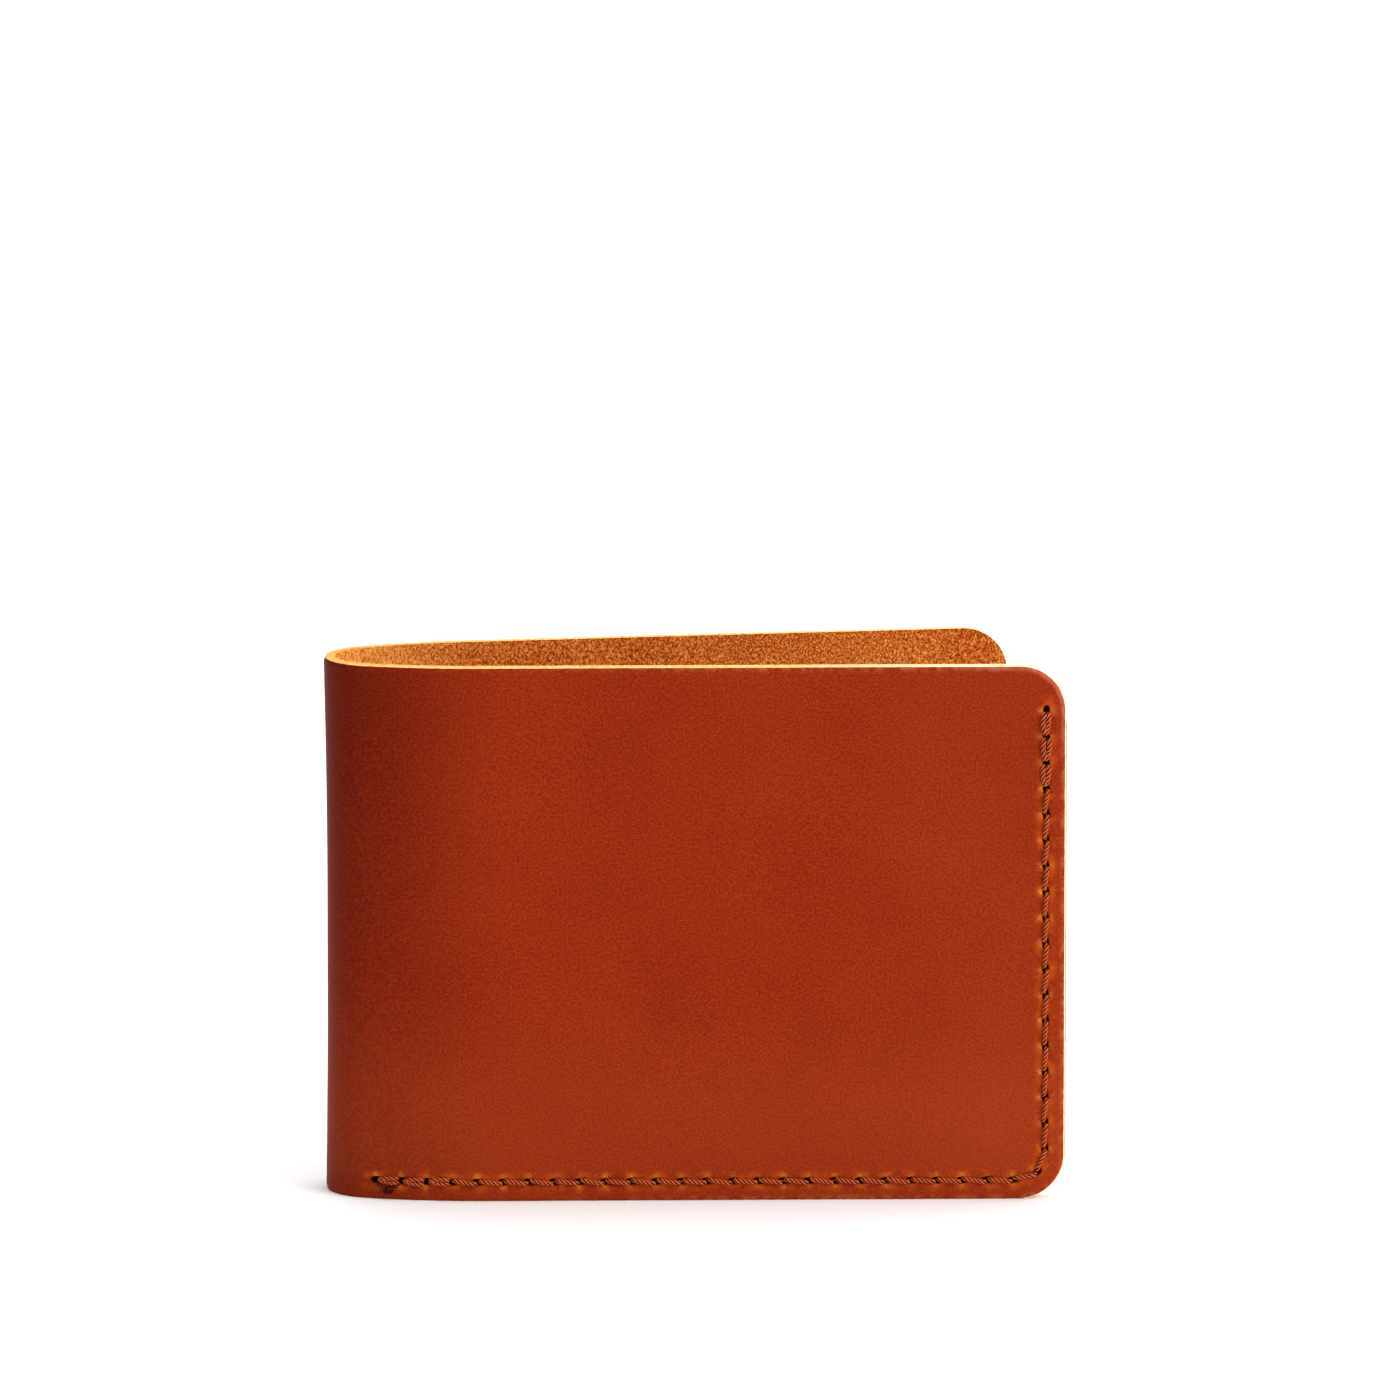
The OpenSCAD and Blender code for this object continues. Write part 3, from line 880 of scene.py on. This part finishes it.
def raw_edge():
    """The undyed core of the leather at a cut: pale, fibrous and slightly layered."""
    n = Material("raw_edge")
    flat = n.attribute("flat")
    layers = n.noise(n.stretch(flat, (0.9, 0.9, 6.0)), 1.6, 4.0, 0.65)
    spots = n.noise(flat, 3.4, 3.0, 0.8)
    tone = n.plus(n.times(layers, 0.4), n.times(spots, 0.6))
    colour = n.ramp(tone, [(0.42, (0.52, 0.15, 0.02)), (0.5, (0.92, 0.52, 0.15)),
                           (0.58, (1.0, 0.76, 0.34))])
    away = n.math("ABSOLUTE", n.part(flat, 0))
    # painted light: darker and redder towards the fold, in shade, and paler towards the free edge, where
    # light falls
    colour = n.mix(n.span(away, 8, 45, 0.8, 0), colour, (0.95, 0.72, 0.42, 1), "MULTIPLY")
    colour = n.mix(n.span(away, 70, 110, 0, 0.6), colour, (1.0, 0.86, 0.58, 1))
    normal = n.bump(tone, 0.8, 0.15 * MM)
    return n.finish(Base_Color=colour, Roughness=0.85, Normal=normal, Specular_IOR_Level=0.1)


def suede():
    """The flesh side: short matted fibres, with darker dye between them, and painted light at the fold,
    where it is drawn paler and brighter.
    """
    n = Material("suede")
    flat = n.attribute("flat")
    clouds = n.noise(flat, 0.10, 3.0)
    nap = n.noise(n.stretch(flat, (1.0, 0.7, 1.0)), 3.2, 3.0, 0.88)
    fibres = n.noise(flat, 5.0, 3.0, 0.7)
    tone = n.plus(n.times(nap, 0.8),
                  n.plus(n.times(fibres, 0.12), n.times(clouds, 0.08)))
    colour = n.ramp(tone, [(0.39, (0.17, 0.018, 0.006)), (0.47, (0.50, 0.080, 0.009)),
                           (0.54, (0.84, 0.21, 0.026)), (0.61, (1.0, 0.50, 0.12))])
    # a painted-light copy of the suede's colours, paler and brighter
    lit_near_fold = n.ramp(tone, [(0.40, (0.50, 0.09, 0.010)), (0.48, (0.88, 0.30, 0.040)),
                              (0.58, (1.0, 0.57, 0.15))])
    # painted light: the suede near the fold is drawn brighter
    fold = n.span(n.math("ABSOLUTE", n.part(flat, 0)), 5, 36, 0.85, 0)
    colour = n.mix(fold, colour, lit_near_fold)
    normal = n.bump(nap, 0.9, 0.25 * MM, n.bump(fibres, 0.5, 0.08 * MM))
    return n.finish(Base_Color=colour, Roughness=0.95, Normal=normal, Specular_IOR_Level=0.05,
                    Sheen_Weight=0.1, Sheen_Roughness=0.6, Sheen_Tint=(0.95, 0.45, 0.2, 1))


def waxed_thread():
    """Waxed linen: painted highlight on the outer bulge of each ply, and painted shade in the grooves
    between plies.
    """
    n = Material("waxed_thread")
    flat = n.attribute("flat")
    fibres = n.noise(n.stretch(flat, (0.7, 2.5, 1.0)), 3.0, 3.0, 0.7)
    # painted highlight and shade: paler where the ply bulges out, darker in the grooves between plies
    swell = n.span(n.part(flat, 2), 0.17, 0.40)
    tone = n.plus(n.times(fibres, 0.45), n.times(swell, 0.55))
    colour = n.ramp(tone, [(0.36, (0.020, 0.002, 0.001)), (0.64, (0.25, 0.028, 0.008)),
                           (0.84, (0.78, 0.16, 0.05))])
    normal = n.bump(fibres, 0.6, 0.05 * MM)
    return n.finish(Base_Color=colour, Roughness=0.55, Normal=normal, Specular_IOR_Level=0.06)


COVER_GRAIN = grain_leather("cover_grain", dark=(0.198, 0.0118, 0.0017), mid=(0.264, 0.0202, 0.0024),
                            light=(0.334, 0.0334, 0.0040))
POCKET_GRAIN = grain_leather("pocket_grain", dark=(0.260, 0.022, 0.0030), mid=(0.330, 0.033, 0.0050),
                             light=(0.400, 0.048, 0.0080))
RAW_EDGE, SUEDE, THREAD = raw_edge(), suede(), waxed_thread()
COVER_SKIN = (COVER_GRAIN, RAW_EDGE, SUEDE)
POCKET_SKIN = (POCKET_GRAIN, RAW_EDGE, SUEDE)

# ---- the cover and the fold


def saddle(points):
    """The fold bows in a little half way up, as a bent sheet does."""
    across = np.exp(-(points[:, 0] / BOW_WIDTH) ** 2)
    up = 1 - (2 * points[:, 1] / cover_h - 1) ** 2
    return BOW_DEPTH * across * up


def cover_outer(points):
    return saddle(points) + unevenness(points)


def cover_inner(points):
    return COVER_T + cover_outer(points)


def cover_half(side, length, node):
    """One half of the cover with its part of the fold, cut where the next piece of the fold carries on."""
    cut = fold_s(crease_angles[0] - crease_pitch / 2)
    corners = [(cut, 0, 0), (length, 0, CORNER_R), (length, cover_h, CORNER_R), (cut, cover_h, 0)]
    outline, cuts = dense(outline_of(mirrored(corners, side)), cut_s=(side * cut,))
    holes = edge_seam(length) * [side, 1]

    def sewn_outer(points):
        return cover_outer(points) + stitch_relief(points, holes)

    piece = leather(f"{node}_leather", outline, cuts, sewn_outer, cover_inner, COVER_SKIN, holes=holes)
    start = place(side * fold_s(crease_angles[0] + crease_pitch / 2), 0, COVER_T / 2)
    stop = place(side * cut, 0, COVER_T / 2)
    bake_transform(piece)
    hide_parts(node)


def fold_piece(number):
    """The fold between the middles of strips number and number + 1."""
    high = fold_s(crease_angles[number] + crease_pitch / 2)
    low = fold_s(crease_angles[number] - crease_pitch / 2)
    corners = np.array([(low, 0), (high, 0), (high, cover_h), (low, cover_h)])
    outline, cuts = dense(corners, cut_s=(low, high), gap=0.5)
    piece = leather(f"fold_leather_{number}", outline, cuts, cover_outer, cover_inner, COVER_SKIN, gap=0.7)
    tuple(place(high, 0, COVER_T / 2))
    tuple(place(low, 0, COVER_T / 2))
    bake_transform(piece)
    return piece


cover_half(1, front_len, "front_cover")
cover_half(-1, back_len, "back_cover")
fold_pieces = [fold_piece(number) for number in (1, 2, 3, 4)]
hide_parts("spine_strip_1", "spine_strip_2")
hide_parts("spine_strip_3")
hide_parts("spine_strip_4")
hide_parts("spine_strip_5")

# ---- the panels inside each half


def full_outline(length, height):
    """Corners of a panel that reaches from the fold side to the free edge, and from the bottom up."""
    end = length + PROUD
    return [(panel_s, 0, 1.0), (end, 0, CORNER_R), (end, height, 1.0), (panel_s, height, 1.0)]


def tab_outline(length, mouth):
    """Corners of a T-shaped pocket: a strip along its mouth, and a tab that goes down inside."""
    low, high = tab_ends(length)
    foot = mouth - TAB_DEPTH - FOOT_RISE
    shoulder_z = mouth - SHOULDER_H
    end = length + PROUD
    return [(panel_s, mouth, 1.0), (panel_s, shoulder_z, 0.6), (low, shoulder_z, 2.0), (low, foot, 2.5),
            (high, foot, 2.5), (high, shoulder_z, 2.0), (end, shoulder_z, 0.6), (end, mouth, 1.0)]


def covered(points, outline, reach=3.0):
    """1 over an outline, falling to 0 within reach past its edge."""
    distance = edge_distance(points, outline, np.zeros(len(outline), bool))
    return np.where(inside(points, outline), 1.0, 1 - smooth(0, reach, distance))


def build_half(half, side, length, body):
    """The bill panel, pockets and threads of one half."""
    def outline(corners):
        return dense(outline_of(mirrored(corners, side)))[0]

    bill_o = outline(full_outline(length, bill_h))
    upper_o = outline(tab_outline(length, upper_mouth))
    middle_o = outline(tab_outline(length, middle_mouth))
    lower_o = outline(full_outline(length, LOWER_MOUTH))
    edge_holes = edge_seam(length) * [side, 1]
    side_holes = side_seam() * [side, 1]
    upper_holes = tab_seam(length, upper_mouth) * [side, 1]
    middle_holes = tab_seam(length, middle_mouth) * [side, 1]

    def bill_outer(points):
        """The bill panel is pressed to the cover at the seam and stands off it elsewhere."""
        return COVER_T + BILL_PRESSED + BILL_GAP * smooth(1.5, 14, line_distance(points, edge_holes))

    def bill_inner(points):
        return bill_outer(points) + BILL_T

    def upper_outer(points):
        return bill_inner(points) + PRESSED_GAP

    def upper_inner(points):
        return upper_outer(points) + TAB_T

    def middle_outer(points):
        return upper_outer(points) + (TAB_T + PRESSED_GAP) * covered(points, upper_o)

    def middle_inner(points):
        return middle_outer(points) + TAB_T

    def lower_outer(points):
        return middle_outer(points) + (TAB_T + PRESSED_GAP) * covered(points, middle_o)

    def lower_inner(points):
        return lower_outer(points) + LOWER_T

    def between(holes, low, high):
        """The holes whose whole stitch shows between two heights."""
        return holes[(holes[:, 1] > low) & (holes[:, 1] < high - 0.8)]

    def panel(node, shape, outer, inner, holes):
        """One panel or pocket, whose inner face shows the holes."""
        def sewn_inner(points):
            return inner(points) - stitch_relief(points, holes, 0.45)

        no_cuts = np.zeros(len(shape), bool)
        piece = leather(f"{node}_leather", shape, no_cuts, outer, sewn_inner, POCKET_SKIN,
                        grain_outside=False, holes=holes, gap=2.2, rounding=(0.16, 0.5))
        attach(piece, body)
        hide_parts(node)

    bare_holes = between(edge_holes, upper_mouth - SHOULDER_H, bill_h)
    panel(f"{half}_bill_panel", bill_o, bill_outer, bill_inner, bare_holes)
    for level, shape, outer, inner, foot_holes, mouth in (
            ("upper", upper_o, upper_outer, upper_inner, upper_holes, upper_mouth),
            ("middle", middle_o, middle_outer, middle_inner, middle_holes, middle_mouth)):
        ends = [between(holes, mouth - SHOULDER_H, mouth) for holes in (side_holes, edge_holes)]
        panel(f"{half}_{level}_card_pocket", shape, outer, inner, np.concatenate([foot_holes, *ends]))
    lower_holes = [between(holes, 0, LOWER_MOUTH) for holes in (side_holes, edge_holes)]
    panel(f"{half}_lower_card_pocket", lower_o, lower_outer, lower_inner, np.concatenate(lower_holes))

    def face_at(points):
        """Depth of the innermost face, for threads that lie on it."""
        z = points[0, 1]
        face = (lower_inner if z < LOWER_MOUTH else middle_inner if z < middle_mouth
                else upper_inner if z < upper_mouth else bill_inner)
        return face(points)

    def thread(node, holes, outer_of, inner_of, doubled=0, tail=False):
        piece = sew(f"{node}_plies", seam_runs(holes, outer_of, inner_of, doubled, tail), THREAD)
        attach(piece, body)
        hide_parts(node)

    def channel(points):
        """Where the thread lies on the cover, in the channel that its seam presses."""
        return unevenness(points) + 0.05

    thread(f"{half}_seam_thread", edge_holes, channel, face_at, doubled=3, tail=True)
    thread(f"{half}_pocket_side_thread", side_holes, bill_outer, face_at)
    thread(f"{half}_upper_pocket_thread", upper_holes, bill_outer, upper_inner)
    thread(f"{half}_middle_pocket_thread", middle_holes, bill_outer, middle_inner)


build_half("front", 1, front_len, "front_half")
build_half("back", -1, back_len, "back_half")

# ---- floor, light and camera


def add_floor():
    """A sheet of pale paper, far wider than any view of the object."""
    reach = 30.0
    corners = [(-reach, -reach, 0), (reach, -reach, 0), (reach, reach, 0), (-reach, reach, 0)]
    mesh = bpy.data.meshes.new("floor")
    mesh.from_pydata(corners, [], [(0, 1, 2, 3)])
    n = Material("floor_paper")
    mesh.materials.append(n.finish(Base_Color=(0.94, 0.94, 0.94, 1), Roughness=0.9, Specular_IOR_Level=0.1))
    add_object("floor", mesh)


def add_softbox(name, at, target, size, power):
    """A rectangular light that faces a target."""
    light = bpy.data.lights.new(name, "AREA")
    light.shape, light.size, light.size_y, light.energy = "RECTANGLE", size[0], size[1], power
    lamp = add_object(name, light)
    lamp.location = at
    lamp.rotation_euler = (Vector(target) - Vector(at)).to_track_quat("-Z", "Y").to_euler()


CAMERA_AZIMUTH, CAMERA_ELEVATION = -5.0, 10.6
CAMERA_DISTANCE = 2.5
CAMERA_TARGET = Vector((0.0014, 0.0, 0.0753))
FRAME_WIDTH = 1400 * 0.153 * MM      # what the picture spans at the target's distance


def add_camera():
    camera = add_object("camera", bpy.data.cameras.new("camera"))
    a, e = math.radians(CAMERA_AZIMUTH), math.radians(CAMERA_ELEVATION)
    direction = Vector((math.sin(a) * math.cos(e), -math.cos(a) * math.cos(e), math.sin(e)))
    camera.location = CAMERA_TARGET + direction * CAMERA_DISTANCE
    camera.rotation_euler = (-direction).to_track_quat("-Z", "Y").to_euler()
    camera.data.sensor_width = 36.0
    camera.data.lens = camera.data.sensor_width * CAMERA_DISTANCE / FRAME_WIDTH
    camera.data.clip_start, camera.data.clip_end = 0.05, 100.0
    scene.camera = camera


WALLS, CEILING = 0.2, 1.15      # brightness from the horizon down, and overhead
LEFT, RIGHT = 0.12, 1.75        # share of it that comes from the left and from the right


def add_world():
    """A studio whose ceiling is bright and whose walls are dimmer, dimmest on the left."""
    world = bpy.data.worlds.new("studio")
    world.use_nodes = True
    n = Nodes(world.node_tree)
    way = n.add("ShaderNodeTexCoord", "Generated")
    up = n.span(n.part(way, 2), 0, 1, WALLS, CEILING, "LINEAR")
    across = n.span(n.part(way, 0), -1, 1, LEFT, RIGHT, "LINEAR")
    background = world.node_tree.nodes["Background"]
    set_socket(background.inputs["Strength"], n.times(up, across))
    set_socket(background.inputs["Color"], (1, 1, 1, 1))
    scene.world = world


add_floor()
add_world()
add_softbox("key_light", (1.3, -1.1, 1.0), (0, 0, 0.05), (1.1, 1.1), 21.4)
add_softbox("top_light", (0.1, 0.4, 1.8), (0, 0.1, 0), (1.6, 1.6), 24)
scene.view_settings.view_transform = "Standard"
add_camera()
